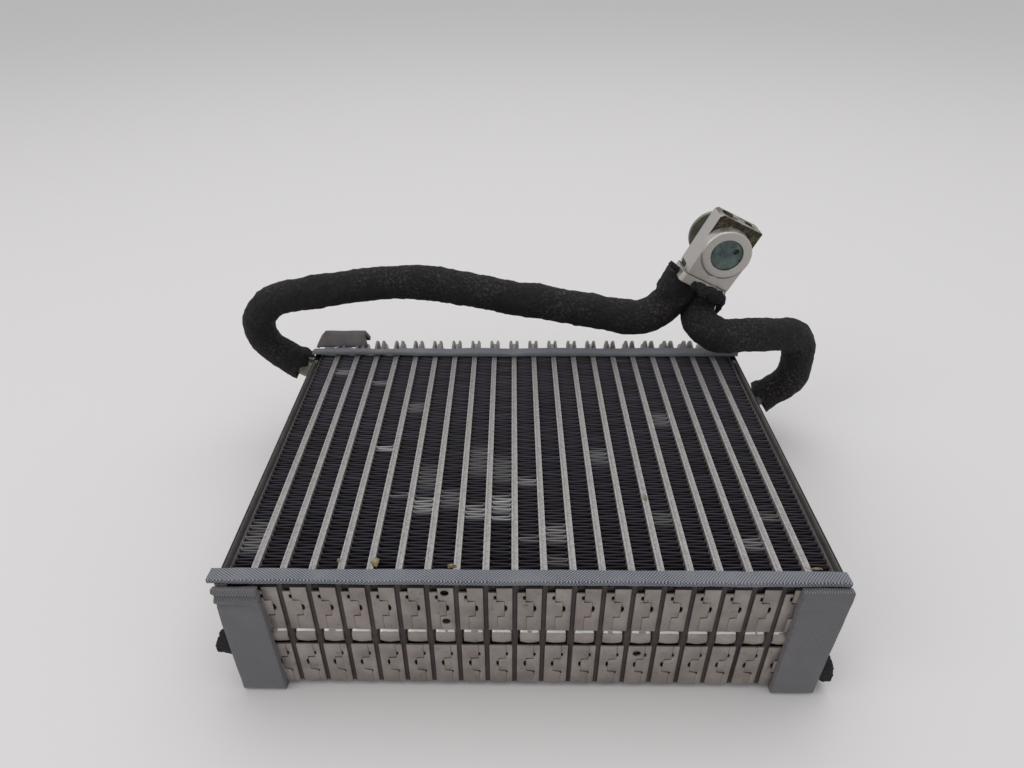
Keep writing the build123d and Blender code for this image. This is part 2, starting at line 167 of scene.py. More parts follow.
def tubeEdge():
    # The tube plates' upper edges: two sheets pressed together, with a painted highlight along their rounded
    # corners
    material, tree, place = startMaterial("brazedPlateEdge")
    split = addNode(tree, "SeparateXYZ", {"Vector": place})
    pitch = core["pitch"] / metre
    thick = core["tubeThick"] / metre
    start = tubeX(0) / metre + coreX - pitch / 2
    turn = addNode(tree, "Math", {"operation": "SUBTRACT", 0: (split, "X"), 1: start})
    part = addNode(tree, "Math", {"operation": "WRAP", 0: (turn, "Value"), 1: pitch, 2: 0.0})
    across = addNode(tree, "MapRange", {
        "From Min": (pitch - thick) / 2, "From Max": (pitch + thick) / 2, "Value": (part, "Value"),
    })
    # a painted highlight at both corners, and the dark seam between the two sheets
    profile = addNode(tree, "ValToRGB", {
        "stops": (
            (0.0, "#c4c2bf"), (0.12, "#a5a2a0"), (0.31, "#9b9896"), (0.36, "#6f6b69"), (0.41, "#9b9896"),
            (0.86, "#a3a09e"), (1.0, "#c1bebb"),
        ),
        "Fac": (across, "Result"),
    })
    speckle = addNode(tree, "TexNoise", {
        "Scale": metre / 0.9, "Detail": 4.0, "Roughness": 0.7, "Vector": place,
    })
    shade = addNode(tree, "ValToRGB", {
        "stops": ((0.3, "#a8a5a2"), (0.6, "#ffffff")), "Fac": (speckle, "Fac"),
    })
    colour = addNode(tree, "Mix", {
        "data_type": "RGBA", "blend_type": "MULTIPLY", 0: 0.8, 6: (profile, "Color"), 7: (shade, "Color"),
    })
    bump = addNode(tree, "Bump", {"Distance": 0.12 / metre, "Height": (profile, "Color")})
    return finishMaterial(material, (colour, 2), bump, {"Roughness": 0.5, "Metallic": 0.5})


def finFoil():
    # Fin foil with a dark water-shedding coat: nearly black in the depth, grey where its edges catch light,
    # bright where a knock has bent the foil over and rubbed the coat off
    material, tree, place = startMaterial("coatedFinFoil")
    edge = addNode(tree, "Attribute", {"attribute_name": "edge"})
    shine = addNode(tree, "Attribute", {"attribute_name": "shine"})
    clouds = addNode(tree, "TexNoise", {"Scale": metre / 34.0, "Detail": 3.0, "Vector": place})
    dark = addNode(tree, "ValToRGB", {
        "stops": ((0.35, "#151214"), (0.65, "#1f1916")), "Fac": (clouds, "Fac"),
    })
    rim = addNode(tree, "Mix", {
        "data_type": "RGBA", 0: (edge, "Fac"), 6: (dark, "Color"), 7: hexColour("#474351"),
    })
    bright = addNode(tree, "Mix", {
        "data_type": "RGBA", 0: (shine, "Fac"), 6: (rim, 2), 7: hexColour("#e2e0de"),
    })
    fine = addNode(tree, "TexNoise", {"Scale": metre / 0.7, "Vector": place})
    bump = addNode(tree, "Bump", {"Distance": 0.04 / metre, "Height": (fine, "Fac")})
    return finishMaterial(material, (bright, 2), bump, {"Roughness": 0.42, "Metallic": 0.35})


def wovenFilm(name, light, dark, thread, worn, forward=1.0):
    # Foam faced with a woven film: fine slanting threads, blue-grey, greyer where it has rubbed
    material, tree, place = startMaterial(name)
    split = addNode(tree, "SeparateXYZ", {"Vector": place})
    eased = addNode(tree, "Math", {"operation": "MULTIPLY", 0: (split, "Y"), 1: forward})
    fold = addNode(tree, "Math", {"operation": "SUBTRACT", 0: (eased, "Value"), 1: (split, "Z")})
    flat = addNode(tree, "CombineXYZ", {"X": (split, "X"), "Y": (fold, "Value")})
    bands = []
    for turn in (38, -52):
        turned = addNode(tree, "Mapping", {
            "Rotation": (0, 0, math.radians(turn)), "Vector": (flat, "Vector"),
        })
        bands.append(addNode(tree, "TexWave", {
            "Scale": math.pi / 10 * metre / thread, "Distortion": 0.6, "Detail": 1.0, "Detail Scale": 0.4,
            "Vector": (turned, "Vector"),
        }))
    weave = addNode(tree, "Math", {"operation": "MULTIPLY", 0: (bands[0], "Fac"), 1: (bands[1], "Fac")})
    threads = addNode(tree, "ValToRGB", {
        "stops": ((0.02, dark), (0.3, light), (0.85, light)), "Fac": (weave, "Value"),
    })
    patches = addNode(tree, "TexNoise", {"Scale": metre / 16.0, "Detail": 4.0, "Vector": place})
    mask = addNode(tree, "MapRange", {
        "From Min": 0.45, "From Max": 0.75, "To Max": 0.45, "Value": (patches, "Fac"),
    })
    colour = addNode(tree, "Mix", {
        "data_type": "RGBA", 0: (mask, "Result"), 6: (threads, "Color"), 7: hexColour(worn),
    })
    bump = addNode(tree, "Bump", {"Distance": 0.18 / metre, "Height": (weave, "Value")})
    return finishMaterial(material, (colour, 2), bump, {"Roughness": 0.72, "Sheen Weight": 0.15})


def sleeveFoam():
    # Open-cell rubber foam, weathered: black pits with brown-grey crumbs between them
    material, tree, place = startMaterial("weatheredSleeveFoam")
    cells = addNode(tree, "TexVoronoi", {"Scale": metre / 1.9, "Vector": place})
    crumbs = addNode(tree, "TexNoise", {
        "Scale": metre / 1.6, "Detail": 5.0, "Roughness": 0.75, "Vector": place,
    })
    lift = addNode(tree, "MapRange", {"From Min": 0.5, "From Max": 0.68, "Value": (crumbs, "Fac")})
    patches = addNode(tree, "TexNoise", {"Scale": metre / 22.0, "Detail": 3.0, "Vector": place})
    wear = addNode(tree, "MapRange", {"From Min": 0.35, "From Max": 0.7, "Value": (patches, "Fac")})
    amount = addNode(tree, "Math", {"operation": "MULTIPLY", 0: (lift, "Result"), 1: (wear, "Result")})
    colour = addNode(tree, "Mix", {
        "data_type": "RGBA", 0: (amount, "Value"), 6: hexColour("#070608"), 7: hexColour("#5c534a"),
    })
    pits = addNode(tree, "Bump", {"Distance": 1.0 / metre, "Height": (cells, "Distance")})
    bump = addNode(tree, "Bump", {
        "Distance": 1.8 / metre, "Height": (crumbs, "Fac"), "Normal": (pits, "Normal"),
    })
    return finishMaterial(material, (colour, 2), bump, {"Roughness": 0.9})


def valveAluminium():
    # Machined aluminium block: pale and bright where it is handled, with olive-black grime where it is not;
    # the per-face amount also paints shade into the boss's hollow and the set-back shelf
    material, tree, place = startMaterial("machinedValveAluminium")
    moved = addNode(tree, "Mapping", {"Scale": (1, 6, 6), "Vector": place})
    tools = addNode(tree, "TexNoise", {"Scale": metre / 0.5, "Vector": (moved, "Vector")})
    clean = addNode(tree, "ValToRGB", {
        "stops": ((0.25, "#9b968f"), (0.6, "#bcb8b2"), (0.8, "#d2cfca")), "Fac": (tools, "Fac"),
    })
    grime = addNode(tree, "Attribute", {"attribute_name": "grime"})
    blots = addNode(tree, "TexNoise", {
        "Scale": metre / 4.5, "Detail": 6.0, "Roughness": 0.7, "Vector": place,
    })
    olive = addNode(tree, "ValToRGB", {
        "stops": ((0.35, "#1c1713"), (0.52, "#453f30"), (0.72, "#85826a")), "Fac": (blots, "Fac"),
    })
    reach = addNode(tree, "Math", {"operation": "ADD", 0: (blots, "Fac"), 1: (grime, "Fac")})
    mask = addNode(tree, "MapRange", {"From Min": 0.82, "From Max": 1.12, "Value": (reach, "Value")})
    colour = addNode(tree, "Mix", {
        "data_type": "RGBA", 0: (mask, "Result"), 6: (clean, "Color"), 7: (olive, "Color"),
    })
    rough = addNode(tree, "MapRange", {"To Min": 0.34, "To Max": 0.7, "Value": (mask, "Result")})
    bump = addNode(tree, "Bump", {"Distance": 0.12 / metre, "Height": (blots, "Fac")})
    return finishMaterial(material, (colour, 2), bump, {"Roughness": (rough, "Result"), "Metallic": 0.7})


def cloudedSurface(name, stops, roughness, metallic, patch, depth=0.06):
    # An aged surface that is slightly clouded, in patches of that many millimetres
    material, tree, place = startMaterial(name)
    cloud = addNode(tree, "TexNoise", {
        "Scale": metre / patch, "Detail": 5.0, "Roughness": 0.6, "Vector": place,
    })
    base = addNode(tree, "ValToRGB", {"stops": stops, "Fac": (cloud, "Fac")})
    bump = addNode(tree, "Bump", {"Distance": depth / metre, "Height": (cloud, "Fac")})
    return finishMaterial(material, (base, "Color"), bump, {"Roughness": roughness, "Metallic": metallic})


def charcoalFoam():
    # Closed-cell foam sheet: an even charcoal with a faint skin
    material, tree, place = startMaterial("charcoalFoam")
    cloud = addNode(tree, "TexNoise", {"Scale": metre / 7.0, "Detail": 4.0, "Vector": place})
    base = addNode(tree, "ValToRGB", {"stops": ((0.3, "#5e5a5b"), (0.7, "#6f6b6b")), "Fac": (cloud, "Fac")})
    cells = addNode(tree, "TexNoise", {"Scale": metre / 0.6, "Detail": 3.0, "Vector": place})
    bump = addNode(tree, "Bump", {"Distance": 0.25 / metre, "Height": (cells, "Fac")})
    return finishMaterial(material, (base, "Color"), bump, {"Roughness": 0.85})


plateSheet = brazedSheet("brazedPlateSheet", "#8f8b88", "#7a7673", "#57504b")
flangeSheet = brazedSheet("stampedFlangeSheet", "#9f9690", "#857c77", "#5d524b", 0.5, True)
# The tube ends between the flanges and the hollows by the barrels: a dark sheet that stands for painted
# shade
recessPaintedShadeSheet = brazedSheet("recessedPlateEndPaintedShade", "#4f4745", "#3f3837", "#2d2725", 0.6)
spacerSheet = barrelWithPaintedLight()
plateEdge = tubeEdge()
foil = finFoil()
stripFilm = wovenFilm("stripFilmOnFoam", "#85888f", "#2f3036", 0.95, "#7d7e82")
padFilm = wovenFilm("padFilmOnFoam", "#757477", "#3a393d", 0.75, "#686768", 0.3)
foamSheet = charcoalFoam()
sleeveSkin = sleeveFoam()
blockSkin = valveAluminium()
# Dry dirt: dull pale brown crumbs
dirtCrumb = cloudedSurface("dryDirt", ((0.3, "#4e4433"), (0.7, "#9a8a6c")), 0.95, 0.0, 1.2)
# Torn foam: black and matt, with no skin
tornSkin = cloudedSurface("tornBlackFoam", ((0.3, "#100d0d"), (0.7, "#1c1817")), 0.9, 0.0, 2.5)
# Drawn aluminium tube, dulled: a dirty warm grey
pipeStops = ((0.3, "#6a6459"), (0.55, "#8e887d"), (0.8, "#a8a49b"))
pipeSkin = cloudedSurface("drawnPipeAluminium", pipeStops, 0.45, 0.8, 5.0, 0.05)
# Zinc-plated steel: a blue-green sheen
plugSkin = cloudedSurface("zincPlatedPlug", ((0.3, "#3d474d"), (0.7, "#6c7f74")), 0.35, 0.7, 5.0)
# Pressed steel: a dull green-grey
headSkin = cloudedSurface("pressedHeadSteel", ((0.3, "#63675a"), (0.7, "#8e9284")), 0.4, 0.7, 9.0)
# Plated steel: a bright warm grey
screwSkin = cloudedSurface("platedScrewSteel", ((0.3, "#87847a"), (0.7, "#b3b0a6")), 0.35, 0.9, 3.0)
# Moulded rubber: a dark green, half matt
rubberSkin = cloudedSurface("sealRubber", ((0.3, "#141a16"), (0.7, "#1f2a22")), 0.6, 0.0, 2.0)
print("materials made")


# Shared shaping tools

# Puts a bmesh in place as a piece of the part
def finishPiece(bm, name, materials, replaced=(), sharpAngle=38):
    bm.transform(toFrame)
    mesh = bpy.data.meshes.new(name)
    bm.to_mesh(mesh)
    bm.free()
    for material in materials:
        mesh.materials.append(material)
    mesh.polygons.foreach_set("use_smooth", [True] * len(mesh.polygons))
    mesh.set_sharp_from_angle(angle=math.radians(sharpAngle))
    piece = bpy.data.objects.new(name, mesh)
    bpy.context.scene.collection.objects.link(piece)
    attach(piece, "root")
    if replaced:
        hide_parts(*replaced)
    return piece


# A welded copy of a CAD node, with its flat faces joined up
def copyOf(node):
    bm = bmesh.new()
    bm.from_mesh(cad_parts[node].data)
    bm.transform(fromFrame)
    bmesh.ops.remove_doubles(bm, verts=bm.verts, dist=0.004)
    bmesh.ops.dissolve_limit(bm, angle_limit=math.radians(0.6), verts=bm.verts, edges=bm.edges)
    return bm


def softenEdges(bm, width, segments=1, limit=32):
    sharp = [e for e in bm.edges if e.is_manifold and e.calc_face_angle() > math.radians(limit)]
    bmesh.ops.bevel(
        bm, geom=sharp, offset=width, offset_type="OFFSET", segments=segments, profile=0.5,
        affect="EDGES", material=-1, clamp_overlap=False,
    )
    bmesh.ops.triangulate(bm, faces=[f for f in bm.faces if len(f.verts) > 4])
    bm.normal_update()


def only(kind, made):  # the vertices, edges or faces that an operator has made
    return [part for part in made["geom"] if isinstance(part, kind)]


# Smooth random value from -1 to 1, with bumps of that size in millimetres
def wave(point, size, seed=0.0):
    return noise.noise(Vector(point) / size + Vector((seed, seed * 0.7, -seed)))


def fade(value, start, end):
    share = min(max((value - start) / (end - start), 0.0), 1.0)
    return share * share * (3 - 2 * share)


# Tubes: the plates with their flanges, cups, spacers and forked tips
tubeLook = {
    "edgeRound": 0.12,
    "rimRound": 0.13,
    "cut": 0.85,  # the front that gives way to the flanges
    "uneven": 0.12,  # how far one flange stands before the next
    "windowLow": 26.0,
    "windowHigh": 40.0,
    "windowBack": 13.0,
}

# Jigsaw flanges. Each outline lies in the cell between two tubes: across from the left tube's strip, and
# down from the row's top. Their level seams gape, and their upright ones are pressed shut.
flangeLook = {
    "thick": 0.84,
    "strip": 1.0,
    "rowTops": (0.0, 36.6),
    "leftOutlines": (
        ((0, 4.4), (3.2, 4.4), (3.2, 6.0), (2.2, 6.2), (2.1, 8.2), (3.2, 8.4), (3.2, 9.8), (6.3, 9.55),
         (6.3, 17.9), (3.6, 18.05), (3.6, 26.6), (0, 26.6)),
        ((0, 0), (6.85, 0), (6.85, 8.1), (3.75, 8.3), (3.75, 10.0), (2.9, 10.3), (2.7, 11.8), (3.0, 13.6),
         (3.75, 13.4), (3.75, 16.7), (6.9, 17.6), (6.9, 25), (0, 25)),
    ),
    "rightOutlines": (
        ((3.3, 0), (9.5, 0), (9.5, 26.6), (3.7, 26.6), (3.7, 18.75), (6.4, 18.4), (6.4, 15.3), (7.3, 15.1),
         (7.6, 13.4), (7.2, 11.9), (6.4, 11.7), (6.4, 9.25), (3.3, 8.95)),
        ((6.95, 0), (9.5, 0), (9.5, 25), (7.0, 25), (7.0, 18.4), (7.7, 18.0), (7.4, 16.8), (6.6, 16.6),
         (3.85, 16.2), (3.85, 9.05), (6.95, 8.65), (6.95, 6.9), (7.8, 6.6), (7.7, 4.7), (6.95, 4.5)),
    ),
    "holeRadius": 1.7,
    "holeSides": 20,
    # for each tube with holes: how far each is from the tube's middle, and how far down
    "holes": {7: ((-4.5, 4.9), (-4.5, 21.6)), 13: ((4.7, 41.2),)},
}


def addSheet(bm, outline, leftX, topZ, holes, setBack):
    y = core["frontY"] + setBack
    others = set(bm.verts)
    loops = [[(leftX + across, y, topZ - down) for across, down in outline]]
    for x, z in holes:
        turns = [2 * math.pi * k / flangeLook["holeSides"] for k in range(flangeLook["holeSides"])]
        radius = flangeLook["holeRadius"]
        loops.append([(x + radius * math.cos(t), y, z + radius * math.sin(t)) for t in turns])
    edges = []
    for loop in loops:
        verts = [bm.verts.new(place) for place in loop]
        edges += [bm.edges.new((verts[k - 1], verts[k])) for k in range(len(verts))]
    faces = only(bmesh.types.BMFace, bmesh.ops.triangle_fill(bm, use_beauty=True, edges=edges))
    verts = only(bmesh.types.BMVert, bmesh.ops.extrude_face_region(bm, geom=faces))
    bmesh.ops.translate(bm, verts=verts, vec=(0, flangeLook["thick"] - setBack, 0))
    bmesh.ops.recalc_face_normals(bm, faces=[f for f in bm.faces if f.verts[0] not in others])


# Spacers: a barrel in each window, pressed against the tube nearer the middle
spacerLook = {
    "setBack": 4.4,
    "down": 31.9,
    "neck": 3.0,
    "rim": 4.25,
    "radius": 4.5,
    "belly": 0.4,
    "round": 0.2,
    "nearEnd": 1.3,  # its ends' distances from the middles of the two tubes
    "farEnd": 2.15,
    "sides": 36,
    "dents": 0.2,
}


def addBarrel(bm, leftX, rightX):
    look = spacerLook
    ends = (look["farEnd"], look["nearEnd"]) if leftX < 0 else (look["nearEnd"], look["farEnd"])
    low, high = leftX + ends[0], rightX - ends[1]
    touch = core["tubeThick"] / 2 + 0.01
    stations = [(leftX + touch, look["neck"]), (low, look["neck"]), (low + 0.02, look["rim"])]
    for k in range(9):
        x = low + look["round"] + (high - low - 2 * look["round"]) * k / 8
        stations.append((x, look["radius"] + look["belly"] * math.sin(math.pi * k / 8)))
    stations += [(high - 0.02, look["rim"]), (high, look["neck"]), (rightX - touch, look["neck"])]
    axis = Vector((0, core["frontY"] + look["setBack"], core["top"] - look["down"]))
    others = set(bm.verts)
    row = [bm.verts.new(axis + Vector((x, 0, radius))) for x, radius in stations]
    edges = [bm.edges.new(pair) for pair in zip(row, row[1:])]
    bmesh.ops.spin(
        bm, geom=row + edges, cent=axis, axis=(1, 0, 0), angle=2 * math.pi, steps=look["sides"],
        use_merge=True,
    )
    bmesh.ops.edgeloop_fill(bm, edges=[e for e in bm.edges if e.is_boundary])
    barrel = [v for v in bm.verts if v not in others]
    for vert in barrel:
        if (vert.co - axis).yz.length > look["neck"] + 0.01:
            start = vert.co.copy()
            vert.co.z += 0.6 * look["dents"] * wave(start, 3.0, leftX)
            vert.co.y += look["dents"] * wave(start, 2.4, leftX + 3)
    bmesh.ops.recalc_face_normals(bm, faces=[f for f in bm.faces if f.verts[0] not in others])


# The forked tips: two rounded fingers behind each tube, from the plates' rear edge
fingerLook = {
    "apart": 1.85,
    "thick": 2.0,
    "slim": 0.55,
    "slimBetween": (63.0, 66.4),
    "outline": (
        (73.6, 61.0), (77.8, 64.2), (80.0, 65.5), (82.3, 66.3), (84.4, 66.2), (86.2, 64.9), (87.3, 62.6),
        (87.9, 59.0), (87.9, 50.0), (76.0, 50.0), (74.0, 56.0),
    ),
}


def addFinger(bm, middle, side):
    look = fingerLook
    others = set(bm.verts)
    near = [bm.verts.new((0, y, z)) for y, z in look["outline"]]
    face = bm.faces.new(near)
    far = only(bmesh.types.BMVert, bmesh.ops.extrude_face_region(bm, geom=[face]))
    for verts, way in ((near, -1), (far, 1)):
        for vert in verts:
            half = look["thick"] / 2 * (1 - look["slim"] * fade(vert.co.z, *look["slimBetween"]))
            vert.co.x = middle + side * (look["apart"] + way * half)
    bmesh.ops.recalc_face_normals(bm, faces=[f for f in bm.faces if f.verts[0] not in others])


def inWindow(face):
    centre = face.calc_center_median()
    behind = centre.y - core["frontY"] - tubeLook["cut"]
    return behind < tubeLook["windowBack"] and tubeLook["windowLow"] < centre.z < tubeLook["windowHigh"]


def dressTube(index):
    number = f"{index + 1:02d}"
    bm = copyOf("tube_" + number)
    middle = tubeX(index)
    cutY = core["frontY"] + tubeLook["cut"]
    bmesh.ops.bisect_plane(
        bm, geom=[*bm.verts, *bm.edges, *bm.faces], dist=0.001,
        plane_co=(0, cutY, 0), plane_no=(0, -1, 0), clear_outer=True,
    )
    bmesh.ops.edgeloop_fill(bm, edges=[e for e in bm.edges if e.is_boundary])
    flank = core["tubeThick"] / 2 + 0.01
    cups = [f for f in bm.faces if inWindow(f) and abs(f.calc_center_median().x - middle) > flank + 0.01]
    bmesh.ops.delete(bm, geom=cups, context="FACES")
    bmesh.ops.edgeloop_fill(bm, edges=[e for e in bm.edges if e.is_boundary])
    softenEdges(bm, tubeLook["edgeRound"])
    body = set(bm.faces)
    for side in (-1, 1):
        addFinger(bm, middle, side)
        leftX = (middle if side > 0 else middle - core["pitch"]) + flangeLook["strip"]
        outlines = flangeLook["leftOutlines" if side > 0 else "rightOutlines"]
        for row, outline in enumerate(outlines):
            topZ = core["top"] - flangeLook["rowTops"][row]
            holes = [
                (middle + out, core["top"] - down) for out, down in flangeLook["holes"].get(index, ())
                if out * side > 0 and (down > flangeLook["rowTops"][1]) == (row > 0)
            ]
            setBack = tubeLook["uneven"] * (1 + wave((index * 3.7, side * 2.1, row * 5.3), 1.0, 8))
            addSheet(bm, outline, leftX, topZ, holes, setBack)
    if index < core["tubes"] - 1:
        addBarrel(bm, middle, middle + core["pitch"])
    flanges = {f for f in bm.faces if f not in body and f.calc_center_median().y < cutY + 0.02}
    rims = [
        e for e in bm.edges
        if flanges.intersection(e.link_faces) and e.is_manifold and e.calc_face_angle() > 0.6
        and max(v.co.y for v in e.verts) < cutY - 0.3 and abs(e.verts[0].co.y - e.verts[1].co.y) < 0.01
    ]
    bmesh.ops.bevel(
        bm, geom=rims, offset=tubeLook["rimRound"], offset_type="OFFSET", segments=1, profile=0.5,
        affect="EDGES", material=-1, clamp_overlap=False,
    )
    bm.normal_update()
    for face in bm.faces:
        centre = face.calc_center_median()
        off = abs(centre.x - middle)
        behind = centre.y - core["frontY"]
        onTop = face.normal.z > 0.6 and centre.z > core["top"] - 0.4
        if onTop and off < core["tubeThick"] / 2 and behind > 0.9:
            face.material_index = 1
        elif 0.8 < behind < 1.2 and face.normal.y < -0.5 and off < 1.3:
            face.material_index = 3  # the tube's own end, between the flanges, given the dark sheet as painted shade
        elif behind < 0.95:
            face.material_index = 2
        # in the window the barrel gets its own sheet, and its neck and the room around it get the dark sheet
        # as painted shade
        elif inWindow(face) and off > flank:
            reach = math.hypot(behind - spacerLook["setBack"], core["top"] - spacerLook["down"] - centre.z)
            face.material_index = 4 if reach > spacerLook["radius"] - 0.6 else 3
    return finishPiece(
        bm, "tube_body_" + number, (plateSheet, plateEdge, flangeSheet, recessPaintedShadeSheet, spacerSheet),
        ("tube_" + number,),
    )


for index in range(core["tubes"]):
    dressTube(index)
print("tubes made")


# Fins: folded foil with rounded folds, leaning and flattened where it has been knocked
finLook = {
    "walls": 108,
    "further": 4.6,
    "steps": 5,
    "thick": 0.22,
    "roomLow": 27.1,
    "roomHigh": 38.3,
    "roomBack": 11.6,
    "bendDepths": (4.2, 1.6),
    "fineLean": 0.25,
    "broadLean": 0.3,
    "square": 2.6,  # how flat the folds lie along the tubes
    "droop": 0.55,
    "sag": 0.35,
    "knockLean": 1.3,
    "knockSink": 0.7,
}

# Knocked places: gap number, distance along Y, half length, and how far the coat has rubbed off
knocks = (
    (4, -14.0, 3.0, 0.9), (5, -47.8, 2.0, 0.5), (6, -54.0, 7.0, 0.95), (7, -50.0, 8.0, 0.35),
    (8, -58.0, 6.0, 0.95), (9, -53.0, 8.0, 0.9), (9, -61.5, 2.5, 1.0), (10, -38.0, 4.0, 0.7),
    (11, -71.0, 7.0, 0.6), (10, -74.0, 3.0, 0.35), (0, -77.0, 8.0, 0.5), (0, -68.0, 5.0, 0.4),
    (18, -76.0, 5.0, 0.6), (19, -60.0, 4.0, 0.3), (11, -86.0, 4.0, 0.3), (6, -36.0, 12.0, 0.25),
    (8, -24.0, 14.0, 0.25), (9, -30.0, 12.0, 0.3), (15, -62.0, 6.0, 0.3), (1, 55.0, 4.0, 0.5),
    (3, 44.0, 3.0, 0.4), (13, -20.0, 8.0, 0.3), (16, 10.0, 8.0, 0.3), (5, 20.0, 6.0, 0.3),
)


def makeFin(index):
    number = f"{index + 1:02d}"
    low, high = span("fin_" + number)
    high.y += finLook["further"]
    middle = (low.x + high.x) / 2
    half = (high.x - low.x) / 2 - finLook["thick"] / 2
    steps = finLook["walls"] * finLook["steps"]
    levels = [
        low.z, finLook["roomLow"], finLook["roomHigh"],
        high.z - finLook["bendDepths"][0], high.z - finLook["bendDepths"][1], high.z,
    ]
    bm = bmesh.new()
    edgeLayer = bm.verts.layers.float.new("edge")
    shineLayer = bm.verts.layers.float.new("shine")
    row = []
    for step in range(steps + 1):
        turn = step / finLook["steps"]
        fold = -max(min(math.cos(math.pi * turn) * finLook["square"], 1.0), -1.0)
        along = low.y + (high.y - low.y) * step / steps
        row.append(bm.verts.new((middle + half * fold, along, levels[0])))
    edges = [bm.edges.new(pair) for pair in zip(row, row[1:])]
    for lower, upper in zip(levels, levels[1:]):
        made = bmesh.ops.extrude_edge_only(bm, edges=edges)
        edges = only(bmesh.types.BMEdge, made)
        verts = only(bmesh.types.BMVert, made)
        bmesh.ops.translate(bm, verts=verts, vec=(0, 0, upper - lower))
    roomBack = core["frontY"] + finLook["roomBack"]
    inRoom = [
        f for f in bm.faces
        if f.calc_center_median().y < roomBack
        and finLook["roomLow"] < f.calc_center_median().z < finLook["roomHigh"]
    ]
    bmesh.ops.delete(bm, geom=inRoom, context="FACES")
    for vert in bm.verts:
        depth = high.z - vert.co.z
        reach = 1 - depth / (finLook["bendDepths"][0] + 0.5)
        if reach < 0:
            continue
        across = (vert.co.x - middle) / half
        slack = 1 - across * across
        place = (middle, vert.co.y, 0)
        lean = finLook["fineLean"] * wave(place, 1.9, index)
        lean += finLook["broadLean"] * wave(place, 9.0, index + 30)
        shine = 0.0
        for gap, knockY, knockReach, rub in knocks:
            if gap == index:
                hit = 1 - fade(abs(vert.co.y - knockY), knockReach * 0.35, knockReach)
                shine = max(shine, hit * rub * (0.45 + 0.55 * abs(wave(place, 1.4, knockY))))
                lean -= finLook["knockLean"] * hit * rub
                vert.co.z -= finLook["knockSink"] * hit * rub * reach * slack
        vert.co.y += lean * reach * (0.35 + 0.65 * slack) - finLook["droop"] * slack * reach
        vert.co.z -= finLook["sag"] * abs(wave(place, 2.3, index + 7)) * reach * slack
        vert[shineLayer] = shine * reach
        if depth < 0.1:
            vert[edgeLayer] = 0.35 + 0.65 * max(wave(place, 2.1, index + 3), -0.4)
    fin = finishPiece(bm, "fin_foil_" + number, (foil,), ("fin_" + number,), 60)
    wall = fin.modifiers.new("foil", "SOLIDIFY")
    wall.thickness = finLook["thick"] / metre
    wall.offset = 0.0


for index in range(core["tubes"] + 1):
    makeFin(index)
print("fins made")


# Small bits of dirt that lie on the core: place, size across and up, seed
litter = (
    ((-61.4, -89.4, 64.6), (1.5, 2.1, 1.0), 2.0), ((-30.7, -91.2, 64.5), (1.9, 0.9, 0.8), 5.0),
    ((-76.3, -88.6, 64.5), (0.7, 0.9, 0.6), 8.0), ((51.8, -51.1, 64.6), (0.8, 1.3, 0.5), 11.0),
    ((112.6, -91.6, 64.6), (2.2, 0.5, 0.5), 14.0),
)


def addLitter():
    bm = bmesh.new()
    for place, size, seed in litter:
        made = bmesh.ops.create_icosphere(bm, subdivisions=3, radius=1.0)["verts"]
        for vert in made:
            rough = 1 + 0.5 * wave(vert.co, 0.7, seed) + 0.25 * wave(vert.co, 0.25, seed)
            vert.co = Vector(place) + Vector([c * s * rough for c, s in zip(vert.co, size)])
    finishPiece(bm, "dirt_bits", (dirtCrumb,), (), 60)


addLitter()


# Side plates
def dressSidePlate(name):
    bm = copyOf("side_plate_" + name)
    softenEdges(bm, 0.25, 2)
    for face in bm.faces:
        if face.normal.z > 0.6 and face.calc_center_median().z > core["top"] - 0.5:
            face.material_index = 1
    finishPiece(bm, "side_channel_" + name, (plateSheet, flangeSheet), ("side_plate_" + name,))


for name in ("left", "right"):
    dressSidePlate(name)


# Foam strips: long bars with cut edges that wander a little
stripLook = {
    "front_top_strip": {
        "name": "front_strip",
        "cuts": 220,
        "wander": 0.4,
        "swell": 0.35,
        "lift": 0.0,
        "raise": 0.65,
        "narrow": 0.0,
        "ends": (-1.4, -1.3),
    },
    "rear_top_strip": {
        "name": "rear_strip",
        "cuts": 220,
        "wander": 0.4,
        "swell": 0.5,
        "lift": 1.3,
        "raise": 0.5,
        "narrow": 3.6,
        "ends": (0.0, 0.0),
    },
    "rear_bottom_strip": {
        "name": "under_strip",
        "cuts": 120,
        "wander": 0.4,
        "swell": 0.0,
        "lift": 0.0,
        "raise": 0.0,
        "narrow": 0.0,
        "ends": (0.0, 0.0),
    },
}
stripShape = {"round": 0.7, "fray": 0.15, "liftFrom": -40.0, "liftTo": -95.0}


def edgeSpan(edge):
    return Vector([abs(part) for part in edge.verts[0].co - edge.verts[1].co])


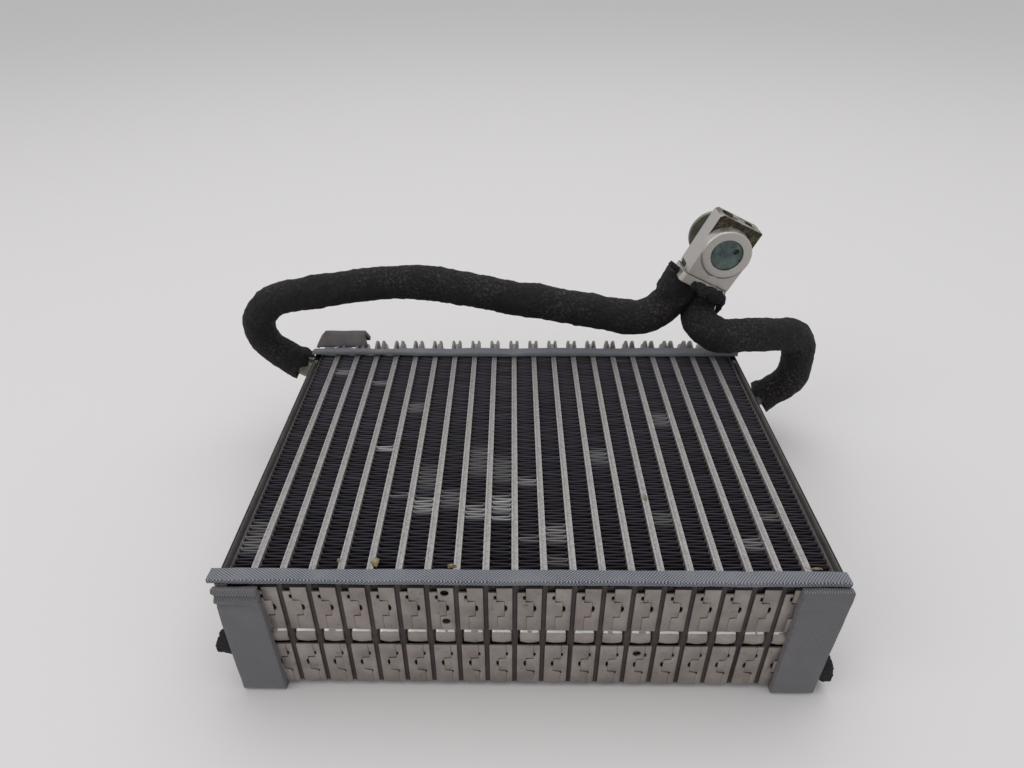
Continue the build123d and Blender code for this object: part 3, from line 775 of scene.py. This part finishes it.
def foamBar(node, look):
    low, high = span(node)
    high.y -= look["narrow"]
    low.x += look["ends"][0]
    high.x += look["ends"][1]
    size = high - low
    bm = bmesh.new()
    bmesh.ops.create_cube(bm, size=1.0)
    bmesh.ops.scale(bm, vec=size, verts=bm.verts)
    bmesh.ops.translate(bm, vec=(low + high) / 2, verts=bm.verts)
    long = [e for e in bm.edges if edgeSpan(e).x > 1]
    bmesh.ops.bevel(
        bm, geom=long, offset=stripShape["round"], offset_type="OFFSET", segments=3, profile=0.5,
        affect="EDGES", material=-1, clamp_overlap=True,
    )
    long = [e for e in bm.edges if edgeSpan(e).x > 1]
    bmesh.ops.subdivide_edges(bm, edges=long, cuts=look["cuts"], use_grid_fill=True)
    cross = [e for e in bm.edges if edgeSpan(e).y > size.y / 2 and edgeSpan(e).x < 0.01]
    bmesh.ops.subdivide_edges(bm, edges=cross, cuts=5, use_grid_fill=True)
    seed = size.y
    for vert in bm.verts:
        side = 1 if vert.co.y > (low.y + high.y) / 2 else -1
        upper = fade(vert.co.z, low.z, high.z)
        along = (vert.co.x, 0, 0)
        vert.co.y += look["wander"] * wave(along, 17.0, seed + side)
        vert.co.y += stripShape["fray"] * wave(along, 3.0, seed + side)
        swell = wave((vert.co.x, vert.co.y, 0), 21.0, seed) + 0.4 * wave(along, 7.0, seed)
        vert.co.z += look["swell"] * upper * swell
        lifted = 1 - fade(vert.co.x, stripShape["liftTo"], stripShape["liftFrom"])
        vert.co.z += look["lift"] * lifted * fade(vert.co.y, high.y, low.y)
        vert.co.z += look["raise"] * (1 - 0.6 * fade(vert.co.y, low.y, high.y))
    bar = finishPiece(bm, look["name"], (stripFilm,), (node,), 50)


for node, look in stripLook.items():
    foamBar(node, look)


# Folded foam sheets: a profile in Y and Z, drawn out along X, with its left end closed where it is seen
def foldedSheet(profile, fromX, toX, cuts, closed=False):
    bm = bmesh.new()
    row = [bm.verts.new((fromX, y, z)) for y, z in profile]
    edges = [bm.edges.new(pair) for pair in zip(row, row[1:])]
    if closed:
        bm.faces.new(row)
    for _ in range(cuts):
        made = bmesh.ops.extrude_edge_only(bm, edges=edges)
        edges = only(bmesh.types.BMEdge, made)
        verts = only(bmesh.types.BMVert, made)
        bmesh.ops.translate(bm, verts=verts, vec=((toX - fromX) / cuts, 0, 0))
    bmesh.ops.recalc_face_normals(bm, faces=bm.faces)
    return bm


# A trim takes that much off a side at the top and at the bottom. A fold has a depth, a width and a height.
padLook = {
    "thick": 2.9,
    "corner": 2.4,
    "rows": 40,
    "columns": 14,
    "upTo": 0.8,
    "round": 0.5,
    "end_pad_left": {
        "name": "corner_pad_left", "leftTrim": (0.7, 0.7), "rightTrim": (0.6, -0.4),
        "folds": ((2.0, 1.5, 1.0), (4.7, 0.7, -1.5), (7.2, 1.5, 1.2), (9.6, 0.7, -0.9)),
    },
    "end_pad_right": {
        "name": "corner_pad_right", "leftTrim": (-1.4, -1.6), "rightTrim": (1.9, 3.4),
        "folds": ((4.0, 3.0, 0.3),),
    },
}


def padProfile(low, high):
    front, back = low.y, high.y
    corner = padLook["corner"]
    rows = padLook["rows"]
    points = [(front, high.z - (high.z - low.z - corner) * k / rows) for k in range(rows)]
    for k in range(5):
        turn = math.pi / 2 * k / 4
        points.append((front + corner * (1 - math.cos(turn)), low.z + corner * (1 - math.sin(turn))))
    points += [(front + corner + (back - front - corner) * k / 5, low.z) for k in range(1, 6)]
    return points


def makePad(node):
    look = padLook[node]
    low, high = span(node)
    high.z += padLook["upTo"]
    bm = foldedSheet(padProfile(low, high), low.x, high.x, padLook["columns"])
    for vert in bm.verts:
        share = (vert.co.x - low.x) / (high.x - low.x)
        down = high.z - vert.co.z
        bulge = 0.25 * wave(vert.co, 14.0, low.x) + 0.1 * wave(vert.co, 4.0, low.x)
        for foldDown, foldWide, foldHigh in look["folds"]:
            bulge += foldHigh * math.exp(-((down - foldDown - 1.0 * (share - 0.5)) / foldWide) ** 2)
        if vert.co.y < low.y + 1:
            vert.co.y -= max(bulge, -0.6)
        if abs(share - 0.5) > 0.49:
            vert.co.x += 0.3 * wave((0, vert.co.y, vert.co.z), 12.0, share + low.x)
        lower = fade(down, 0, high.z - low.z)
        for (atTop, atFoot), amount in ((look["leftTrim"], 1 - share), (look["rightTrim"], -share)):
            vert.co.x += (atTop + (atFoot - atTop) * lower) * amount
    for face in bm.faces:
        face.normal_flip()
    pad = finishPiece(bm, look["name"], (padFilm,), (node,), 50)
    wall = pad.modifiers.new("foam", "SOLIDIFY")
    wall.thickness = padLook["thick"] / metre
    wall.offset = 1.0
    soft = pad.modifiers.new("soft", "BEVEL")
    soft.width = padLook["round"] / metre
    soft.segments = 2
    soft.limit_method = "ANGLE"
    soft.angle_limit = math.radians(60)


makePad("end_pad_left")
makePad("end_pad_right")


# Folded foam on the plate tips, its front leaning back and its fold open at the right
blockLook = {
    "thick": 2.4,
    "cuts": 30,
    "leanLeft": 5.2,
    "leanRight": 1.8,
    "profile": (
        (79.5, 64.5), (80.2, 66.3), (80.9, 68.1), (81.6, 69.8), (82.4, 71.3), (83.6, 72.4), (85.2, 72.6),
        (87.0, 71.8), (88.6, 70.2), (90.0, 68.2), (91.2, 66.2), (92.2, 64.5),
    ),
}


def makeFoamBlock():
    low, high = span("foam_block")
    bm = foldedSheet(blockLook["profile"], low.x, high.x, blockLook["cuts"], True)
    for vert in bm.verts:
        share = fade(vert.co.z, low.z, high.z)
        along = (vert.co.x - low.x) / (high.x - low.x)
        vert.co.x += share * (blockLook["leanLeft"] * (1 - along) - blockLook["leanRight"] * along)
        vert.co.z += share * (0.25 * wave((vert.co.x, 0, 0), 11.0, 4) + 0.1 * wave(vert.co, 3.0, 5))
        vert.co.y += 0.2 * wave((vert.co.x, vert.co.z, 0), 9.0, 6)
    block = finishPiece(bm, "folded_foam", (foamSheet,), ("foam_block",), 60)
    wall = block.modifiers.new("foam", "SOLIDIFY")
    wall.thickness = blockLook["thick"] / metre
    wall.offset = -1.0


makeFoamBlock()


# Torn foam left on the side plates: dark wedges that stick out behind the pads
tornBits = (
    (
        (-122.7, 36.5), (-125.7, 37.0), (-128.6, 31.0), (-130.2, 26.2), (-129.6, 24.0), (-125.6, 22.4),
        (-122.7, 20.0),
    ),
    ((122.7, 25.5), (124.0, 24.0), (126.8, 17.6), (128.2, 11.0), (128.0, 6.8), (124.4, 6.6), (122.7, 8.5)),
)
tornLook = {"front": -101.9, "deep": 8.4, "sink": 4.0, "grain": 1.2, "rough": 0.7}


def makeTornFoam():
    bm = bmesh.new()
    for outline in tornBits:
        face = bm.faces.new([bm.verts.new((x, tornLook["front"], z)) for x, z in outline])
        verts = only(bmesh.types.BMVert, bmesh.ops.extrude_face_region(bm, geom=[face]))
        bmesh.ops.translate(bm, verts=verts, vec=(0, tornLook["deep"], -tornLook["sink"]))
        bmesh.ops.triangulate(bm, faces=bm.faces)
        for _ in range(3):
            edges = [e for e in bm.edges if e.calc_length() > tornLook["grain"]]
            bmesh.ops.subdivide_edges(bm, edges=edges, cuts=1)
            bmesh.ops.triangulate(bm, faces=bm.faces)
    for vert in bm.verts:
        push = Vector((wave(vert.co, 1.7, 3), wave(vert.co, 1.7, 8), wave(vert.co, 1.7, 15)))
        vert.co += push * tornLook["rough"]
    bmesh.ops.recalc_face_normals(bm, faces=bm.faces)
    torn = finishPiece(bm, "torn_lumps", (tornSkin,), ("torn_foam",), 70)


makeTornFoam()
print("foam edges made")


# Valve axes: across its width, up its height, back along the boss
valve = {
    "lean": math.radians(26),
    "origin": Vector((107.8, 70.4, 126.4)),
    "portBack": 13.5,
    "suctionPort": -5.8,
    "liquidPort": 7.0,
    "under": -17.8,
    "socket": 7.4,
    "plate": 5.3,
}
valveAcross = Vector((math.cos(valve["lean"]), 0, -math.sin(valve["lean"])))
valveUp = Vector((math.sin(valve["lean"]), 0, math.cos(valve["lean"])))


def valvePoint(across, up, back):
    return valve["origin"] + valveAcross * across + valveUp * up + Vector((0, back, 0))


def valvePlace(point):
    off = point - valve["origin"]
    return off.dot(valveAcross), off.dot(valveUp), off.y


dirtAndShadeLook = {
    "bossHole": 8.5,
    "shelfBack": 5.5,
    # the boss's hollow and the set-back shelf take painted shade as well as grime
    "insideBoss": 1.0,
    "shelf": 0.68,
    "front": 0.16,
    "outerFace": 0.5,
    "leftSide": 0.08,
    "rightSide": 0.42,
    "elsewhere": 0.3,
}


# How dark a face of the valve block is made, from 0 to 1: real grime, with painted shade in the boss's
# hollow and on the set-back shelf
def dirtAndShadeAt(face):
    across, up, back = valvePlace(face.calc_center_median())
    facing = 0.7
    if face.normal.y < -facing:
        if math.hypot(across, up) < dirtAndShadeLook["bossHole"]:
            return dirtAndShadeLook["insideBoss"]
        shelf = back > dirtAndShadeLook["shelfBack"] and up > 0
        return dirtAndShadeLook["shelf" if shelf else "front"]
    if face.normal.dot(valveUp) > facing:
        return dirtAndShadeLook["outerFace"]
    if face.normal.dot(valveAcross) < -facing:
        return dirtAndShadeLook["leftSide"]
    if face.normal.dot(valveAcross) > facing:
        return dirtAndShadeLook["rightSide"]
    return dirtAndShadeLook["elsewhere"]


# The screw's hole runs along the block's front face: a filling closes it, and the screw shows only its head
groove = {
    "across": 1.5, "half": 2.7, "low": -17.75, "high": -8.5, "front": 0.96, "back": 4.2, "headTop": -22.6,
}


def closeGroove(bm):
    made = bmesh.ops.create_cube(bm, size=1.0)["verts"]
    for vert in made:
        across = groove["across"] + vert.co.x * 2 * groove["half"]
        up = groove["low"] + (vert.co.z + 0.5) * (groove["high"] - groove["low"])
        back = groove["front"] + (vert.co.y + 0.5) * (groove["back"] - groove["front"])
        vert.co = valvePoint(across, up, back)


def keepHead(bm):
    bmesh.ops.bisect_plane(
        bm, geom=[*bm.verts, *bm.edges, *bm.faces], dist=0.001,
        plane_co=valvePoint(0, groove["headTop"], 0), plane_no=valveUp, clear_outer=True,
    )
    bmesh.ops.edgeloop_fill(bm, edges=[e for e in bm.edges if e.is_boundary])


def dressValvePiece(node, name, material, edge, segments=2, dirtyAndShaded=False):
    bm = copyOf(node)
    if node == "flange_screw":
        keepHead(bm)
    softenEdges(bm, edge, segments)
    if node == "valve_body":
        closeGroove(bm)
    if dirtyAndShaded:
        layer = bm.faces.layers.float.new("grime")
        for face in bm.faces:
            face[layer] = dirtAndShadeAt(face)
    piece = finishPiece(bm, name, (material,), (node,), 40)
    piece.modifiers.new("evenShading", "WEIGHTED_NORMAL").keep_sharp = True


dressValvePiece("valve_body", "valve_block", blockSkin, 0.3, 2, True)
dressValvePiece("pipe_flange", "pipe_plate", blockSkin, 0.3, 2, True)
dressValvePiece("boss_plug", "staked_disc", plugSkin, 0.2)
dressValvePiece("power_head", "power_shells", headSkin, 0.5, 3)
dressValvePiece("flange_screw", "plate_screw", screwSkin, 0.3)
dressValvePiece("port_seals", "seal_rings", rubberSkin, 0.05, 1)
print("valve made")


# Pipes and their foam sleeves
# Points about every step along straight runs joined by arcs
def filletRoute(points, radii, step):
    path = [points[0]]
    for before, corner, after, radius in zip(points, points[1:], points[2:], radii):
        arrive = (corner - before).normalized()
        leave = (after - corner).normalized()
        turn = arrive.angle(leave)
        cut = radius * math.tan(turn / 2)
        start = corner - arrive * cut
        inward = (leave - arrive * arrive.dot(leave)).normalized()
        centre = start + inward * radius
        count = max(2, int((start - path[-1]).length / step))
        path += [path[-1].lerp(start, k / count) for k in range(1, count + 1)]
        arcCount = max(3, int(radius * turn / step))
        for k in range(1, arcCount + 1):
            angle = turn * k / arcCount
            path.append(centre - inward * radius * math.cos(angle) + arrive * radius * math.sin(angle))
    count = max(2, int((points[-1] - path[-1]).length / step))
    return path + [path[-1].lerp(points[-1], k / count) for k in range(1, count + 1)]


def sweptTube(path, radius, resolution):
    curve = bpy.data.curves.new("route", "CURVE")
    curve.dimensions = "3D"
    spline = curve.splines.new("POLY")
    spline.points.add(len(path) - 1)
    for point, place in zip(spline.points, path):
        point.co = (*place, 1.0)
    curve.bevel_depth = radius
    curve.bevel_resolution = resolution
    curve.use_fill_caps = True
    holder = bpy.data.objects.new("route", curve)
    bpy.context.scene.collection.objects.link(holder)
    bpy.context.view_layer.update()
    mesh = bpy.data.meshes.new_from_object(holder.evaluated_get(bpy.context.evaluated_depsgraph_get()))
    bm = bmesh.new()
    bm.from_mesh(mesh)
    bmesh.ops.remove_doubles(bm, verts=bm.verts, dist=0.01)
    bpy.data.objects.remove(holder)
    bpy.data.curves.remove(curve)
    bpy.data.meshes.remove(mesh)
    return bm


tankY = core["rearY"] + 8.0
sideOut = 122.6
routes = {
    "suction": {
        "pipe": 6.35, "start": 9.0, "end": 10.0, "bare": 4.5, "drop": 19.5, "port": valve["suctionPort"],
        "side": -1,
        "points": [
            Vector((-sideOut - 0.6, tankY, 45.8)), Vector((-sideOut - 10.0, tankY, 45.8)),
            Vector((-166, 83.2, 73.3)), Vector((-144, 80.2, 96.3)), Vector((-68, 79.2, 109.8)),
            Vector((70, 80.2, 82.3)),
        ],
        "bends": (10, 20, 22, 130, 20, 16),
    },
    "liquid": {
        "pipe": 4.75, "start": 9.2, "end": 9.6, "bare": 5.0, "drop": 17.5, "port": valve["liquidPort"],
        "side": 1,
        "points": [
            Vector((sideOut + 0.6, tankY, 21.2)), Vector((sideOut + 22.0, tankY, 21.2)),
            Vector((166, 84.2, 38.3)), Vector((161.5, 79.2, 74.3)), Vector((134, 68.2, 79.3)),
            Vector((98, 60.2, 82.3)),
        ],
        "bends": (12, 18, 16, 50, 13, 11),
    },
}
sleeveLook = {
    "step": 1.6,
    "lump": 1.0,
    "crumb": 0.6,
    "grit": 0.4,
    "ragged": 6.5,
    "flare": 7.0,  # how far the torn opening spreads along the pipe
    "splitAcross": 1.4,  # where the two sleeves meet under the valve
    "stepUp": 3.2,  # the thicker collar below the valve, and where it begins
    "stepFrom": 70.0,
    "stepLevels": (98.5, 100.5),
    "stepWay": Vector((-0.75, 0, 0.66)),
}


def makePipe(name, look):
    points = look["points"] + [
        valvePoint(look["port"], valve["under"] - look["drop"], valve["portBack"]),
        valvePoint(look["port"], valve["under"] + valve["socket"], valve["portBack"]),
    ]
    bm = sweptTube(filletRoute(points, look["bends"], 2.0), look["pipe"], 10)
    finishPiece(bm, name + "_tube", (pipeSkin,), (name + "_pipe",), 50)
    return points


def makeSleeve(name, look, points):
    first = points[1] + (points[2] - points[1]).normalized() * look["bare"]
    last = points[-2] + (points[-1] - points[-2]).normalized() * (look["drop"] - valve["plate"])
    route = [first, *points[2:-1], last]
    path = filletRoute(route, look["bends"][1:], sleeveLook["step"])
    bm = sweptTube(path, look["start"], 22)
    tree = KDTree(len(path))
    for k, place in enumerate(path):
        tree.insert(place, k)
    tree.balance()
    total = len(path) - 1
    seed = 5.0 if name == "suction" else 11.0
    for vert in bm.verts:
        place, k, _ = tree.find(vert.co)
        ahead = (path[min(k + 1, total)] - path[max(k - 1, 0)]).normalized()
        radial = vert.co - place
        radial -= ahead * radial.dot(ahead)
        share = k / total
        radius = look["start"] + (look["end"] - look["start"]) * share
        flare = 1 - fade(k * sleeveLook["step"], 0.0, sleeveLook["flare"])
        radius += flare * (0.8 + 1.2 * wave(vert.co, 4.0, seed))
        radius += sleeveLook["lump"] * wave(vert.co, 17.0, seed)
        radius += sleeveLook["crumb"] * wave(vert.co, 4.5, seed + 1)
        radius += sleeveLook["grit"] * wave(vert.co, 1.5, seed + 2)
        if name == "suction" and vert.co.x > sleeveLook["stepFrom"] and radial.length > 1:
            outward = max(radial.normalized().dot(sleeveLook["stepWay"]), 0.0)
            radius += sleeveLook["stepUp"] * outward * fade(vert.co.z, *sleeveLook["stepLevels"])
        if radial.length > look["start"] * 0.6:
            slide = ahead * (vert.co - place).dot(ahead)
            vert.co = place + slide + radial.normalized() * radius
        else:
            vert.co += ahead * 0.5 * flare
        vert.co -= ahead * flare * sleeveLook["ragged"] * max(wave(radial, 5.0, seed + 4), -0.3)
        across, _, _ = valvePlace(vert.co)
        over = (across - sleeveLook["splitAcross"]) * look["side"]
        if share > 0.7 and over < 0.1:
            vert.co += valveAcross * (0.1 - over) * look["side"]
    sleeve = finishPiece(bm, name + "_foam", (sleeveSkin,), (name + "_sleeve",), 70)


for name, look in routes.items():
    makeSleeve(name, look, makePipe(name, look))

# Loose foam by the valve: a curled finger on the left, a torn tuft on the right, and foam pushed up over the
# plate. Each is a route with a thickness at every point.
looseBits = {
    "curled_flap": (
        ((90, 79, 108.5), 3.0), ((86.5, 78.5, 112.8), 2.2), ((83, 78, 116.3), 1.7), ((79.8, 78, 119.2), 1.5),
    ),
    "torn_tuft": (
        ((104, 77, 103.5), 4.0), ((109.0, 77, 99.5), 3.6), ((110.8, 77, 95.5), 2.6),
        ((110.0, 76.4, 91.8), 1.5), ((109.2, 76, 88.8), 0.5),
    ),
    "pushed_foam": (
        ((91.4, 70.8, 110.6), 2.4), ((96.0, 69.8, 108.0), 3.2), ((102.5, 69.2, 104.8), 3.7),
        ((107.0, 69.4, 102.4), 3.4), ((109.6, 71.0, 100.6), 2.2), ((111.2, 72.5, 98.8), 0.9),
    ),
}


def makeLooseBit(name, stations, seed):
    places = [Vector(place) for place, _ in stations]
    path = []
    sizes = []
    for k in range(len(places) - 1):
        for part in range(6):
            path.append(places[k].lerp(places[k + 1], part / 6))
            sizes.append(stations[k][1] + (stations[k + 1][1] - stations[k][1]) * part / 6)
    path.append(places[-1])
    sizes.append(stations[-1][1])
    bm = sweptTube(path, 1.0, 10)
    tree = KDTree(len(path))
    for k, place in enumerate(path):
        tree.insert(place, k)
    tree.balance()
    for vert in bm.verts:
        place, k, _ = tree.find(vert.co)
        rough = 1 + 0.4 * wave(vert.co, 2.4, seed) + 0.3 * wave(vert.co, 0.9, seed + 2)
        vert.co = place + (vert.co - place) * sizes[k] * rough
    bmesh.ops.triangulate(bm, faces=[f for f in bm.faces if len(f.verts) > 4])
    bit = finishPiece(bm, name, (sleeveSkin,), (), 70)


for seed, (name, stations) in enumerate(looseBits.items()):
    makeLooseBit(name, stations, 20.0 + seed)
print("pipes and sleeves made")


# Light, floor and camera
lighting = {"world": 0.72, "floor": "#d0cecc", "overhead": 10.0, "window": 4.5}


def addLights():
    world = bpy.data.worlds.new("softRoom")
    bpy.context.scene.world = world
    world.use_nodes = True
    background = world.node_tree.nodes["Background"]
    background.inputs["Color"].default_value = hexColour("#fbfbff")
    background.inputs["Strength"].default_value = lighting["world"]
    for name, place, size, power in (
        ("overhead", (0.1, 0.25, 1.5), 1.6, lighting["overhead"]),
        ("window", (-1.2, -0.7, 1.1), 1.0, lighting["window"]),
    ):
        lamp = bpy.data.lights.new(name, "AREA")
        lamp.size = size
        lamp.energy = power
        holder = bpy.data.objects.new(name, lamp)
        holder.location = place
        holder.rotation_mode = "QUATERNION"
        holder.rotation_quaternion = (-Vector(place)).to_track_quat("-Z", "Y")
        bpy.context.scene.collection.objects.link(holder)


def addFloor():
    bm = bmesh.new()
    bmesh.ops.create_grid(bm, x_segments=1, y_segments=1, size=8.0)
    mesh = bpy.data.meshes.new("floor")
    bm.to_mesh(mesh)
    bm.free()
    floor = bpy.data.objects.new("floor", mesh)
    bpy.context.scene.collection.objects.link(floor)
    material, tree, _ = startMaterial("paleFloor")  # matt painted board: plain and soft
    shader = addNode(tree, "BsdfPrincipled", {"Roughness": 0.6, "Base Color": hexColour(lighting["floor"])})
    addNode(tree, "OutputMaterial", {"Surface": (shader, "BSDF")})
    mesh.materials.append(material)


# The photo's viewpoint, worked out from the straight lines of the core
cameraLook = {
    "place": Vector((-7.05, -286.69, 280.18)),
    "yaw": math.radians(-1.3357),
    "pitch": math.radians(33.3989),
    "roll": math.radians(0.6755),
    "lens": 25.04,
    "sensor": 36.0,
    "shift": (0.01372, -0.0005),
}


def addCamera():
    look = cameraLook
    ahead = Vector((
        math.sin(look["yaw"]) * math.cos(look["pitch"]),
        math.cos(look["yaw"]) * math.cos(look["pitch"]),
        -math.sin(look["pitch"]),
    ))
    right = Vector((math.cos(look["yaw"]), -math.sin(look["yaw"]), 0))
    down = ahead.cross(right)
    turnedRight = right * math.cos(look["roll"]) + down * math.sin(look["roll"])
    turnedDown = down * math.cos(look["roll"]) - right * math.sin(look["roll"])
    data = bpy.data.cameras.new("camera")
    data.sensor_width = look["sensor"]
    data.lens = look["lens"]
    data.shift_x, data.shift_y = look["shift"]
    camera = bpy.data.objects.new("camera", data)
    axes = Matrix((turnedRight, -turnedDown, -ahead)).transposed()
    camera.matrix_world = Matrix.Translation(toFrame @ look["place"]) @ axes.to_4x4()
    bpy.context.scene.collection.objects.link(camera)
    bpy.context.scene.camera = camera


addLights()
addFloor()
addCamera()
bpy.context.scene.view_settings.view_transform = "Standard"
bpy.context.view_layer.update()
print("scene ready")
